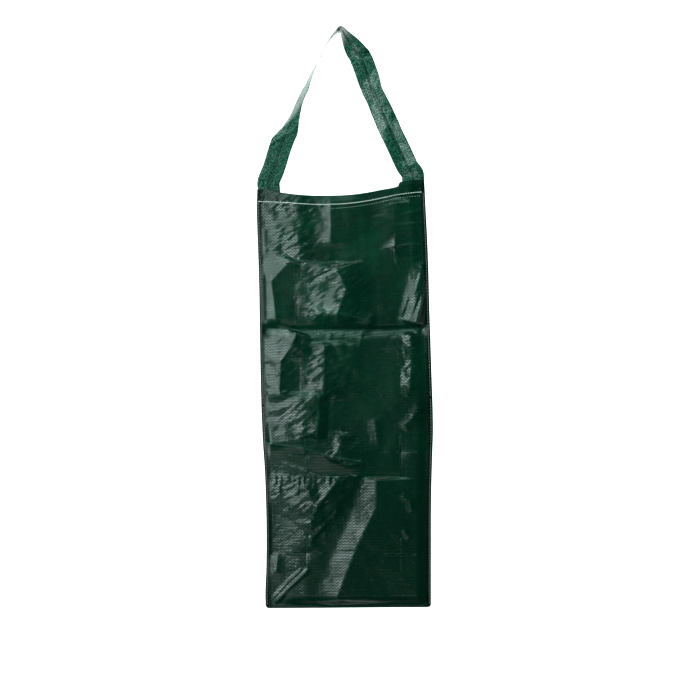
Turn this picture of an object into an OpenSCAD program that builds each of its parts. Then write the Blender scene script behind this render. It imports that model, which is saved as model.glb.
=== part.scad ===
// Flat hanging grow bag of laminated woven sheet, with eight cross slits and a strap loop.
// Origin at the hook point under the top of the strap, +Z up, the front faces -Y.

/* [Bag] */
// Width of the bag from side edge to side edge
bag_w = 235; // [200:1:300]
// Height of the top third, from the corners of the hem to the first packing crease
upper_h = 201; // [185:1:240]
// Height of the middle third, between the two packing creases
middle_h = 198; // [185:1:230]
// Height of the bottom third, from the second packing crease to the bottom fold
lower_h = 187; // [175:1:230]
// Depth of the hanging bag from front to back
bag_depth = 14; // [12:0.5:24]
// Thickness of the laminated sheet
sheet_t = 0.4; // [0.3:0.05:0.6]
// Radius of the two bottom corners
corner_r = 5; // [2:0.5:10]
// Height over which the bag narrows to the bottom fold
bottom_taper = 40; // [25:1:50]

/* [Hem and seams] */
// Height of the turned-in hem
hem_h = 13; // [8:0.5:20]
// How far the hem sags between the two strap ends
hem_sag = 11; // [0:0.5:16]
// Tilt of the hem, the right corner higher, in degrees
hem_tilt = 3; // [0:0.1:4]
// Width of the flat side seams
seam_w = 8; // [6:0.5:10]
// Width of the slope between a side seam and the flat of the bag
slope_w = 10.5; // [8:0.5:12]
// Width of a row of sewing thread
thread_w = 0.8; // [0.5:0.1:1.2]
// Height of a row of sewing thread over the sheet
thread_h = 0.4; // [0.2:0.1:0.6]
// Distance of the side threads from the side edges
thread_inset = 3; // [2:0.5:5]

/* [Slits] */
// Length of each of the two cuts that make a cross slit
slit_l = 47; // [36:1:48]
// Distance of the left column of slits from the left side edge
left_margin = 58; // [44:1:75]
// Distance of the right column of slits from the right side edge
right_margin = 45; // [44:1:75]
// Left column, rows 1 to 4: distance of each slit from the packing crease next to it
left_rows = [94, 37, 26, 110]; // [25:1:120]
// Right column, rows 1 to 4: distance of each slit from the packing crease next to it
right_rows = [115, 25, 30, 112]; // [25:1:120]
// Width of a cut between two flaps
kerf = 0.4; // [0.2:0.1:0.8]
// Gap between a flap and the sheet along the line where it bends
flap_gap = 0.4; // [0.3:0.1:0.8]

/* [Strap] */
// Width of the strap
strap_w = 31; // [24:1:34]
// Thickness of the folded strap
strap_t = 0.8; // [0.6:0.1:1.2]
// Height of the loop, from the hook point down to the hem's corners
loop_h = 216; // [190:1:260]
// Length of a strap end that is sewn in below the hem's edge
tab_l = 25; // [15:1:30]
// How far a strap end stands over the hem's edge, up to where the strap bends
tab_stand = 2; // [1.6:0.1:4]
// Distance of the strap from the side edge
tab_inset = 2; // [1:0.5:4]

/* [Packing creases] */
// How far the bag's middle has moved right at the first crease
crease_1_shift = 5.6; // [0:0.1:8]
// How far the bag's middle has moved right at the second crease
crease_2_shift = 10.4; // [0:0.1:12]
// Gap between two thirds at a packing crease
crease_gap = 0.4; // [0.3:0.1:1]
// Gap between a sewn-in strap end and the strap above it
bend_gap = 1; // [0.9:0.1:1.4]

/* [Hidden] */
$fn = 48;

SHEET_COLOUR = "#0c3a29";
HEM_COLOUR = "#0f4531";
STRAP_COLOUR = "#2a6650";
THREAD_COLOUR = "#9fb3a4";

half_w = bag_w / 2;
half_depth = bag_depth / 2;
// The seam's stack: sheet, turned-in hem and half of the strap end
seam_half = 2 * sheet_t + strap_t / 2;
// How much wider than the strap the corners are pressed flat, and how far a filling stays off what it ends under
clearance = 1;
// Plenty of reach for a cutting block
reach = 1000;

// Distance of the strap's middle line from the bag's centre line
strap_x = half_w - tab_inset - strap_w / 2;

hem_z = -loop_h;
crease_1_z = hem_z - upper_h;
crease_2_z = crease_1_z - middle_h;
bottom_z = crease_2_z - lower_h;
// The bend between strap and bag, as a height at the centre line
bend_z = hem_z + tab_stand;

// Each third hangs about its own centre line: top point, bottom point and lean
THIRD_TOP = [[0, hem_z], [crease_1_shift, crease_1_z], [crease_2_shift, crease_2_z]];
THIRD_BOTTOM = [[crease_1_shift, crease_1_z], [crease_2_shift, crease_2_z], [crease_2_shift, bottom_z]];
UPPER = 0;
MIDDLE = 1;
LOWER = 2;
function third_lean(third) =
    atan((THIRD_BOTTOM[third][0] - THIRD_TOP[third][0]) / (THIRD_TOP[third][1] - THIRD_BOTTOM[third][1]));
function centre_x(third, z) = THIRD_TOP[third][0] + (THIRD_TOP[third][1] - z) * tan(third_lean(third));

// Height of the hem's edge over its level at the centre line
function hem_rise(x) = x * tan(hem_tilt);

// Moves the children into the leaning frame of one third
module in_third(third) {
    translate([THIRD_TOP[third][0], 0, THIRD_TOP[third][1]]) rotate([0, -third_lean(third), 0]) children();
}

// Extrudes a flat shape drawn in X and Z along Y, through the whole bag
module through_bag() {
    rotate([90, 0, 0]) linear_extrude(height = 2 * reach, center = true) children();
}

// Extrudes a flat shape drawn in Y and Z along X, over the whole width
module across_bag() {
    rotate([90, 0, 90]) linear_extrude(height = 2 * reach, center = true) children();
}

// Space behind the front of a straight bag: flat side seams, slopes and a flat middle
module side_slopes() {
    edge = half_w - seam_w;
    flat = edge - slope_w;
    linear_extrude(height = 2 * reach, center = true)
        polygon([[-reach, -seam_half], [-edge, -seam_half], [-flat, -half_depth], [flat, -half_depth],
            [edge, -seam_half], [reach, -seam_half], [reach, reach], [-reach, reach]]);
}

// Cross-section that narrows to the bottom fold
module bottom_slope() {
    low = bottom_z + 2 * seam_half;
    high = bottom_z + bottom_taper;
    across_bag()
        polygon([[-seam_half, -reach], [-seam_half, low], [-half_depth, high], [-half_depth, reach],
            [reach, reach], [reach, -reach]]);
}

// Space behind a plane that presses one top corner flat on its strap end; side is -1 left, 1 right
module corner_pinch(side) {
    spread = 35;
    grade = 0.45;
    flat_w = tab_inset + strap_w + clearance;
    corner_z = hem_z + hem_rise(side * half_w);
    mirror([side > 0 ? 1 : 0, 0, 0])
        translate([-half_w + flat_w, 0, corner_z]) rotate([0, spread, 0])
            linear_extrude(height = 2 * reach, center = true)
                polygon([[-reach, -seam_half], [0, -seam_half], [reach, -seam_half - grade * reach],
                    [reach, reach], [-reach, reach]]);
}

// Everything behind the outer face of the front sheet
module behind_front(third) {
    if (third == UPPER)
        intersection() {
            in_third(third) side_slopes();
            corner_pinch(-1);
            corner_pinch(1);
        }
    if (third == MIDDLE) in_third(third) side_slopes();
    if (third == LOWER)
        intersection() {
            in_third(third) side_slopes();
            bottom_slope();
        }
}

// Outline of the hem's edge, lowered by drop: level over the strap ends, sagging between them
module below_hem(drop) {
    inner = half_w - tab_inset - strap_w;
    steps = 16;
    sag_line = [for (i = [0 : steps])
        let (u = -1 + 2 * i / steps)
        [u * inner, hem_z + hem_rise(u * inner) - hem_sag * (1 - u * u) - drop]];
    left_corner = [-reach, hem_z + hem_rise(-reach) - drop];
    right_corner = [reach, hem_z + hem_rise(reach) - drop];
    polygon(concat([left_corner], sag_line, [right_corner, [reach, -reach], [-reach, -reach]]));
}

// Outline of one third as seen from the front
module third_outline(third) {
    gap = crease_gap / 2;
    high = third == UPPER ? reach : THIRD_TOP[third][1] - gap;
    low = third == LOWER ? bottom_z + seam_half : THIRD_BOTTOM[third][1] + gap;
    intersection() {
        in_third(third) translate([-half_w, -reach, -reach]) cube([bag_w, 2 * reach, 2 * reach]);
        translate([-reach, -reach, low]) cube([2 * reach, 2 * reach, high - low]);
        if (third == UPPER) through_bag() below_hem(0);
        if (third == LOWER) through_bag() bottom_corners();
    }
}

// Rounded bottom corners
module bottom_corners() {
    x = crease_2_shift;
    translate([x - half_w, bottom_z + corner_r]) square([bag_w, reach]);
    translate([x - half_w + corner_r, bottom_z]) square([bag_w - 2 * corner_r, reach]);
    for (side = [-1, 1])
        translate([x + side * (half_w - corner_r), bottom_z + corner_r]) circle(corner_r);
}

// One layer of sheet behind the front face; layer 0 is the front face itself
module front_layer(third, layer) {
    difference() {
        translate([0, layer * sheet_t, 0]) behind_front(third);
        translate([0, (layer + 1) * sheet_t, 0]) behind_front(third);
    }
}

// Centre of a slit; column is "left" or "right", row is 1 to 4 from the top
function slit_third(row) = row == 1 ? UPPER : row == 4 ? LOWER : MIDDLE;
function slit_from_crease(column, row) = column == "left" ? left_rows[row - 1] : right_rows[row - 1];
function slit_z(column, row) =
    row == 1 ? crease_1_z + slit_from_crease(column, row)
    : row == 2 ? crease_1_z - slit_from_crease(column, row)
    : row == 3 ? crease_2_z + slit_from_crease(column, row)
    : crease_2_z - slit_from_crease(column, row);
function slit_x(column, row) =
    centre_x(slit_third(row), slit_z(column, row))
    + (column == "left" ? left_margin - half_w : half_w - right_margin);

// Moves the children to the middle of a slit, leaning as the bag leans there
module at_slit(column, row) {
    translate([slit_x(column, row), 0, slit_z(column, row)])
        rotate([0, -third_lean(slit_third(row)), 0]) children();
}

// Window that the four flaps of a slit leave when they are open
module slit_window(column, row) {
    at_slit(column, row) through_bag() circle(r = slit_l / 2, $fn = 4);
}

// Triangular flap in one quarter of a slit; right and up are 1 or -1
module flap(column, row, right, up) {
    leg = slit_l / 2 - flap_gap * sqrt(2) - kerf / 2;
    color(SHEET_COLOUR)
        at_slit(column, row) translate([0, sheet_t - half_depth, 0]) rotate([90, 0, 0])
            linear_extrude(height = sheet_t)
                into_quarter(right, up)
                    polygon([[kerf / 2, kerf / 2], [leg, kerf / 2], [kerf / 2, leg]]);
}

// Mirrors a shape drawn in the upper right quarter into another quarter
module into_quarter(right, up) {
    mirror([right < 0 ? 1 : 0, 0]) mirror([0, up < 0 ? 1 : 0]) children();
}

// Front panel of one third, with the windows of the slits in rows
module front_panel(third, rows) {
    color(SHEET_COLOUR)
        difference() {
            intersection() {
                front_layer(third, 0);
                third_outline(third);
            }
            for (row = rows, column = ["left", "right"]) slit_window(column, row);
        }
}

// Back panel of one third
module back_panel(third) {
    color(SHEET_COLOUR)
        intersection() {
            mirror([0, 1, 0]) front_layer(third, 0);
            third_outline(third);
        }
}

// Turned-in hem behind the front or, mirrored, before the back
module hem_band() {
    color(HEM_COLOUR)
        intersection() {
            front_layer(UPPER, 1);
            third_outline(UPPER);
            difference() {
                through_bag() below_hem(-1);
                through_bag() below_hem(hem_h);
            }
        }
}

// One row of stitches in the middle of the hem, on the outside of the front or the back
module hem_stitches() {
    color(THREAD_COLOUR)
        intersection() {
            difference() {
                translate([0, -thread_h, 0]) behind_front(UPPER);
                behind_front(UPPER);
            }
            third_outline(UPPER);
            difference() {
                through_bag() below_hem(hem_h - thread_w);
                through_bag() below_hem(hem_h);
            }
        }
}

// Sewn-in end of the strap; side is -1 left, 1 right
module strap_end(side) {
    color(STRAP_COLOUR)
        translate([0, strap_t / 2, bend_z]) rotate([90, -hem_tilt, 0])
            linear_extrude(height = strap_t)
                translate([side * strap_x - strap_w / 2, -tab_l - tab_stand])
                    square([strap_w, tab_l + tab_stand - bend_gap / 2]);
}

// Turned-in edges of the sheet inside one side seam
module seam_filling(third, side) {
    start = third == UPPER ? THIRD_TOP[third][1] + hem_rise(side * half_w) - tab_l - clearance : reach;
    inner = half_w - seam_w;
    thick = 2 * (seam_half - sheet_t);
    color(HEM_COLOUR)
        intersection() {
            in_third(third)
                translate([side > 0 ? inner : -half_w, -thick / 2, -reach]) cube([seam_w, thick, 2 * reach]);
            third_outline(third);
            translate([-reach, -reach, start - 2 * reach]) cube([2 * reach, 2 * reach, 2 * reach]);
        }
}

// Thread of one side seam, a row on the front and a row on the back
module seam_thread(third, side) {
    x = side * (half_w - thread_inset) - thread_w / 2;
    start = third == UPPER ? THIRD_TOP[third][1] + hem_rise(side * half_w) - hem_h - clearance : reach;
    color(THREAD_COLOUR)
        intersection() {
            in_third(third)
                for (y = [-seam_half - thread_h, seam_half])
                    translate([x, y, -reach]) cube([thread_w, thread_h, 2 * reach]);
            third_outline(third);
            translate([-reach, -reach, start - 2 * reach]) cube([2 * reach, 2 * reach, 2 * reach]);
        }
}

// Bottom edge, where the sheet turns from the front to the back
module bottom_fold() {
    color(SHEET_COLOUR)
        intersection() {
            difference() {
                translate([-reach, 0, bottom_z + seam_half]) rotate([0, 90, 0])
                    cylinder(r = seam_half, h = 2 * reach);
                translate([-reach, 0, bottom_z + seam_half]) rotate([0, 90, 0])
                    cylinder(r = seam_half - sheet_t, h = 2 * reach);
                translate([-reach, -reach, bottom_z + seam_half]) cube(2 * reach);
            }
            through_bag() bottom_corners();
        }
}

// Route of the strap from the left bend to the right bend: X, Z and turn.
// Turn 0 faces the front, 90 lies on the hook.
LEFT_ROUTE = [[-93, -192, 0], [-86, -169, 0], [-82, -157, 6], [-77.5, -146, 30], [-71.5, -133, 60],
    [-65, -117, 75], [-57.5, -100, 79], [-50, -84, 80], [-43, -67, 80], [-35.5, -50.5, 80],
    [-27, -34, 82], [-17, -15, 85], [-8, -4, 88]];
RIGHT_ROUTE = [[6.5, -9, 110], [17, -25, 124], [28, -41, 142], [35, -59, 165], [43.5, -84, 178],
    [51, -100, 180], [65, -132, 180], [79, -162, 180], [91.5, -188, 180]];
bend_normal = [-sin(hem_tilt), cos(hem_tilt)];
function bend_point(x) = [x, bend_z] + [0, hem_rise(x)] + bend_normal * bend_gap / 2;
left_bend = bend_point(-strap_x);
right_bend = bend_point(strap_x);
// Straight run of the strap over a bend, long enough to turn into the leg's lean
first_run = 8;
// The route is drawn for a loop of this height and half width, and follows the real ones
drawn_loop_h = 216;
drawn_strap_x = 100;
function fit(route) = [for (p = route) [p[0] * strap_x / drawn_strap_x, p[1] * loop_h / drawn_loop_h, p[2]]];
STRAP_POINTS = concat(
    [[left_bend[0], left_bend[1], 0]],
    [[left_bend[0] + first_run * bend_normal[0], left_bend[1] + first_run * bend_normal[1], 0]],
    fit(LEFT_ROUTE), [[0, strap_t / 2, 90]], fit(RIGHT_ROUTE),
    [[right_bend[0] + first_run * bend_normal[0], right_bend[1] + first_run * bend_normal[1], 180]],
    [[right_bend[0], right_bend[1], 180]]);

// Smooth curve through the points: position and slope at step u between points i and i + 1
strap_last = len(STRAP_POINTS) - 1;
function strap_p(i) =
    i < 0 ? 2 * STRAP_POINTS[0] - STRAP_POINTS[1]
    : i > strap_last ? 2 * STRAP_POINTS[strap_last] - STRAP_POINTS[strap_last - 1]
    : STRAP_POINTS[i];
function curve_at(i, u) =
    let (a = strap_p(i - 1), b = strap_p(i), c = strap_p(i + 1), d = strap_p(i + 2))
    0.5 * (2 * b + (c - a) * u + (2 * a - 5 * b + 4 * c - d) * u * u + (3 * b - a - 3 * c + d) * u * u * u);
function slope_at(i, u) =
    let (a = strap_p(i - 1), b = strap_p(i), c = strap_p(i + 1), d = strap_p(i + 2))
    0.5 * ((c - a) + 2 * (2 * a - 5 * b + 4 * c - d) * u + 3 * (3 * b - a - 3 * c + d) * u * u);
RUN_STEPS = 2;
function unit(v) = v / norm(v);
// The four corners of the strap's section at a point with a given slope
function section(p, slope) =
    let (
        along = unit([slope[0], 0, slope[1]]),
        side = [along[2], 0, -along[0]],
        wide = cos(p[2]) * side + sin(p[2]) * [0, -1, 0],
        thick = cross(along, wide),
        middle = [p[0], 0, p[1]])
    [for (c = [[-1, -1], [1, -1], [1, 1], [-1, 1]])
        middle + wide * c[0] * strap_w / 2 + thick * c[1] * strap_t / 2];

// Strap loop, swept through its sections
module strap() {
    sections = concat(
        [for (i = [0 : strap_last - 1], s = [0 : RUN_STEPS - 1])
            section(curve_at(i, s / RUN_STEPS), slope_at(i, s / RUN_STEPS))],
        [section(strap_p(strap_last), strap_p(strap_last) - strap_p(strap_last - 1))]);
    n = len(sections);
    points = [for (s = sections, p = s) p];
    sides = [for (i = [0 : n - 2], k = [0 : 3])
        let (a = 4 * i + k, b = 4 * i + (k + 1) % 4)
        each [[a, a + 4, b + 4], [a, b + 4, b]]];
    start = [[0, 1, 2], [0, 2, 3]];
    end = [[4 * n - 4, 4 * n - 2, 4 * n - 3], [4 * n - 4, 4 * n - 1, 4 * n - 2]];
    color(STRAP_COLOUR) polyhedron(points, concat(sides, start, end));
}

strap();
strap_end(-1);  // strap_end_left
strap_end(1);  // strap_end_right
hem_band();  // hem_front
mirror([0, 1, 0]) hem_band();  // hem_back
for (back = [0, 1]) mirror([0, back, 0]) hem_stitches();  // hem_thread
front_panel(UPPER, [1]);  // front_upper
front_panel(MIDDLE, [2, 3]);  // front_middle
front_panel(LOWER, [4]);  // front_lower
back_panel(UPPER);  // back_upper
back_panel(MIDDLE);  // back_middle
back_panel(LOWER);  // back_lower
seam_filling(UPPER, -1);  // seam_left_upper
seam_filling(MIDDLE, -1);  // seam_left_middle
seam_filling(LOWER, -1);  // seam_left_lower
seam_filling(UPPER, 1);  // seam_right_upper
seam_filling(MIDDLE, 1);  // seam_right_middle
seam_filling(LOWER, 1);  // seam_right_lower
seam_thread(UPPER, -1);  // thread_left_upper
seam_thread(MIDDLE, -1);  // thread_left_middle
seam_thread(LOWER, -1);  // thread_left_lower
seam_thread(UPPER, 1);  // thread_right_upper
seam_thread(MIDDLE, 1);  // thread_right_middle
seam_thread(LOWER, 1);  // thread_right_lower
bottom_fold();
flap("left", 1, 1, 1);  // flap_left_1_ne
flap("left", 1, -1, 1);  // flap_left_1_nw
flap("left", 1, -1, -1);  // flap_left_1_sw
flap("left", 1, 1, -1);  // flap_left_1_se
flap("left", 2, 1, 1);  // flap_left_2_ne
flap("left", 2, -1, 1);  // flap_left_2_nw
flap("left", 2, -1, -1);  // flap_left_2_sw
flap("left", 2, 1, -1);  // flap_left_2_se
flap("left", 3, 1, 1);  // flap_left_3_ne
flap("left", 3, -1, 1);  // flap_left_3_nw
flap("left", 3, -1, -1);  // flap_left_3_sw
flap("left", 3, 1, -1);  // flap_left_3_se
flap("left", 4, 1, 1);  // flap_left_4_ne
flap("left", 4, -1, 1);  // flap_left_4_nw
flap("left", 4, -1, -1);  // flap_left_4_sw
flap("left", 4, 1, -1);  // flap_left_4_se
flap("right", 1, 1, 1);  // flap_right_1_ne
flap("right", 1, -1, 1);  // flap_right_1_nw
flap("right", 1, -1, -1);  // flap_right_1_sw
flap("right", 1, 1, -1);  // flap_right_1_se
flap("right", 2, 1, 1);  // flap_right_2_ne
flap("right", 2, -1, 1);  // flap_right_2_nw
flap("right", 2, -1, -1);  // flap_right_2_sw
flap("right", 2, 1, -1);  // flap_right_2_se
flap("right", 3, 1, 1);  // flap_right_3_ne
flap("right", 3, -1, 1);  // flap_right_3_nw
flap("right", 3, -1, -1);  // flap_right_3_sw
flap("right", 3, 1, -1);  // flap_right_3_se
flap("right", 4, 1, 1);  // flap_right_4_ne
flap("right", 4, -1, 1);  // flap_right_4_nw
flap("right", 4, -1, -1);  // flap_right_4_sw
flap("right", 4, 1, -1);  // flap_right_4_se
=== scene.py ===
"""Looks of a flat hanging grow bag: laminated woven sheet with cross slits, strap loop and sewn seams.

Cloth is measured in millimetres: u runs across the bag from its left edge, w runs down from the hem's edge.
"""
import math
import bpy
import numpy as np
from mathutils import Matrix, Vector


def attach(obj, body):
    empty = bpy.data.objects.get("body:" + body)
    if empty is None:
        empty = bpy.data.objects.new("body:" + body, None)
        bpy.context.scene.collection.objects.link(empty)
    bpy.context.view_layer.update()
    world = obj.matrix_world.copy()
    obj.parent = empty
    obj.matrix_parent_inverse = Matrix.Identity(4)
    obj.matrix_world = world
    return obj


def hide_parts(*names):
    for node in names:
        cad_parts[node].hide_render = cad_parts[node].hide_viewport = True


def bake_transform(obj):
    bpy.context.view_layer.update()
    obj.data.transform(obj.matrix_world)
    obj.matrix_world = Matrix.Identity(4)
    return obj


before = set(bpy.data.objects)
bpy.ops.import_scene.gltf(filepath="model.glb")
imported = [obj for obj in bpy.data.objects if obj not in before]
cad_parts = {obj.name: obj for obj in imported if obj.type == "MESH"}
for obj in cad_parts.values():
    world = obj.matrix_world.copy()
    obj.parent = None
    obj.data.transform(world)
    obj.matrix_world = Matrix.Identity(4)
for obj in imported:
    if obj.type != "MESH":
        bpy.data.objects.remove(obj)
scene = bpy.context.scene
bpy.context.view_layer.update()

MM = 0.001
BAG_U = 235.0  # width of the sheet
BAG_W = 586.0  # height of the sheet, hem to bottom fold
CORNER_R = 5.0  # radius of the bottom corners
LEFT_X = -116.0  # rough X of the left edge, for reading the hem's height
HEM_Z = -216.0  # height of the hem's edge at the middle
HEM_TILT = 4.4  # how much higher a straight hem would hang at the right column
HEM_REACH = 48.0  # how far down the cloth follows the hem's own line
HEM_H = 13.0  # height of the turned-in hem
HEM_TURN = 0.35  # radius of the turn at the hem's edge
SEAM = 1.2  # half thickness of the side seams
DEPTH = 5.8  # how far the flat of the bag lies before the seams
ARM = 23.5  # length of one arm of a cross slit
ARM_CELLS = 16  # grid cells along an arm
KERF = 1.3  # width of a cut
STRAP_W = 31.0  # width of the strap
UNDERSIDE = 1.03  # how far round the strap its second face lies, in widths
COLUMN_U = (58.0, 190.0)  # middles of the slits, across the sheet
ROW_W = (96.5, 232.0, 371.0, 510.0)  # middles of the slits, down the sheet
COLUMN_NAMES = ("left", "right")
SPLIT_ROW = 205  # grid row between the upper and the lower piece of the front
TAPE = np.array([2.4, 2.02])  # width of an upright and of a level woven tape
GLINT = 2.2  # how much steeper the wrinkles look in the gloss than they stand
FAR = 1e9  # beyond every point of the cloth


# ---- shape of the bag, in millimetres ----
def soft(t):
    """Smooth step from 0 to 1."""
    t = np.clip(t, 0.0, 1.0)
    return t * t * (3 - 2 * t)


def table(points):
    """A smooth curve through (position, value) points."""
    at, value = np.array(points, float).T

    def read(x):
        i = np.clip(np.searchsorted(at, x) - 1, 0, len(at) - 2)
        t = np.clip((x - at[i]) / (at[i + 1] - at[i]), 0, 1)
        slope = np.gradient(value, at)
        span = at[i + 1] - at[i]
        a, b, c, d = value[i], value[i + 1], slope[i] * span, slope[i + 1] * span
        return a + c * t + (3 * (b - a) - 2 * c - d) * t**2 + (2 * (a - b) + c + d) * t**3

    return read


def lines(stops, counts):
    """Grid lines: so many even steps between each two stops."""
    parts = [np.linspace(a, b, n, endpoint=False) for a, b, n in zip(stops, stops[1:], counts)]
    return np.concatenate([*parts, [stops[-1]]])


def noise(x, y, size, seed):
    """Smooth noise from -1 to 1 with cells of the given size; it repeats after 63 cells."""
    grid = np.random.default_rng(seed).uniform(-1, 1, (64, 64))
    x, y = x / size + 1000.5, y / size + 1000.5
    i, j = np.floor(x).astype(int), np.floor(y).astype(int)
    s, t = soft(x - i), soft(y - j)
    i, j = i % 63, j % 63
    low = grid[i, j] * (1 - s) + grid[i + 1, j] * s
    high = grid[i, j + 1] * (1 - s) + grid[i + 1, j + 1] * s
    return low * (1 - t) + high * t


# X of the side edges by height
left_edge = table([(-802, -105.4), (-787, -105.8), (-744, -104.4), (-690, -104.2), (-645.5, -105.2),
    (-610.8, -106.6), (-572, -109.2), (-534.5, -110.9), (-423.6, -113.4), (-340.4, -114.8), (-301.5, -116.1),
    (-250, -117.6), (-222.5, -117.2), (-209, -117)])
right_edge = table([(-802, 125.7), (-728.7, 125.7), (-645.5, 126.1), (-597, 127.3), (-555, 128.6),
    (-534.5, 128.4), (-477.7, 126.5), (-423.6, 124.8), (-401.4, 124), (-325, 121.9), (-275, 119.8),
    (-246, 118.2), (-219.7, 117), (-209, 116.3)])
# Height of the hem's edge by X
hem_edge = table([(-120, -224.6), (-103, -225.2), (-82, -226.4), (-55, -229.2), (-22, -230.9), (15, -229.8),
    (32, -227.8), (60, -222.6), (82, -217.6), (100, -215.2), (125, -213.6)])
# How much higher the hem's edge stands on the ends of the strap, by X
hem_step = table([(-120, 2.4), (-90, 2.4), (-84, 0.4), (-78, 0), (0, 0), (60, 0), (80, 0), (81.5, 0.3),
    (83.5, 5.2), (85.5, 5.5), (92, 5.6), (125, 5)])
# X of the slit columns, by the distance down the sheet
column_left = table([(0, -59), (96.5, -56.5), (232, -53), (371, -49.7), (510, -49.1), (586, -48.7)])
column_right = table([(0, 71.5), (96.5, 74.9), (232, 78.7), (371, 82.2), (510, 82.9), (586, 82.6)])
# How far the right column hangs higher than the middle, and the left one lower
tilt = table([(0, HEM_TILT), (96.5, 10.5), (232, 6), (371, 2), (510, -1), (586, 0.5)])


def place(u, w):
    """X and Z of a point of the sheet as it hangs."""
    middle = 0.5 * (COLUMN_U[0] + COLUMN_U[1])
    t = (u - middle) / (COLUMN_U[1] - middle)
    inner = np.clip(t, -1, 1)
    # -1 at the left column, 1 at the right one, and less steep beyond them
    lean = inner + 0.08 * np.sin(np.pi * inner) + 0.6 * (t - inner)
    z = HEM_Z - w + tilt(w) * lean
    straight = HEM_Z + HEM_TILT * lean
    rough_x = LEFT_X + u
    z = z + (hem_edge(rough_x) - straight) * np.exp(-((np.maximum(w, 0) / HEM_REACH) ** 2))
    z = z + hem_step(rough_x) * soft(1 - w / 10)
    a, b = left_edge(z), right_edge(z)
    inset = np.maximum(0, CORNER_R - (BAG_W - w))
    corner = CORNER_R - np.sqrt(np.maximum(0, CORNER_R**2 - inset**2))
    a, b = a + corner, b - corner
    c, d = column_left(w), column_right(w)
    first, second = COLUMN_U
    x = np.where(u < first, a + (c - a) * u / first,
        np.where(u < second, c + (d - c) * (u - first) / (second - first),
            d + (b - d) * (u - second) / (BAG_U - second)))
    return x, z


def ridge(x, z, points, before, after, height, fade_in, fade_out, power):
    """A wrinkle whose crest runs through points; before and after are the widths of its two flanks."""
    best = np.full(x.shape, FAR)
    side, along, start = np.ones(x.shape), np.full(x.shape, -1.0), 0.0
    last = len(points) - 2
    for k, (p, q) in enumerate(zip(points, points[1:])):
        dx, dz = q[0] - p[0], q[1] - p[1]
        length = math.hypot(dx, dz)
        run = ((x - p[0]) * dx + (z - p[1]) * dz) / length
        low = -FAR if k == 0 else 0
        high = FAR if k == last else length
        near = np.clip(run, low, high)
        away = np.hypot(x - p[0] - near * dx / length, z - p[1] - near * dz / length)
        closer = away < best
        best = np.where(closer, away, best)
        side = np.where(closer, np.sign(dx * (z - p[1]) - dz * (x - p[0])), side)
        along = np.where(closer, start + run, along)
        start += length
    width = np.where(side < 0, before, after)
    shape = np.clip(1 - best / width, 0, 1) ** power
    ends = soft(along / max(fade_in, 0.5)) * soft((start - along) / max(fade_out, 0.5))
    return height * shape * ends


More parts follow.
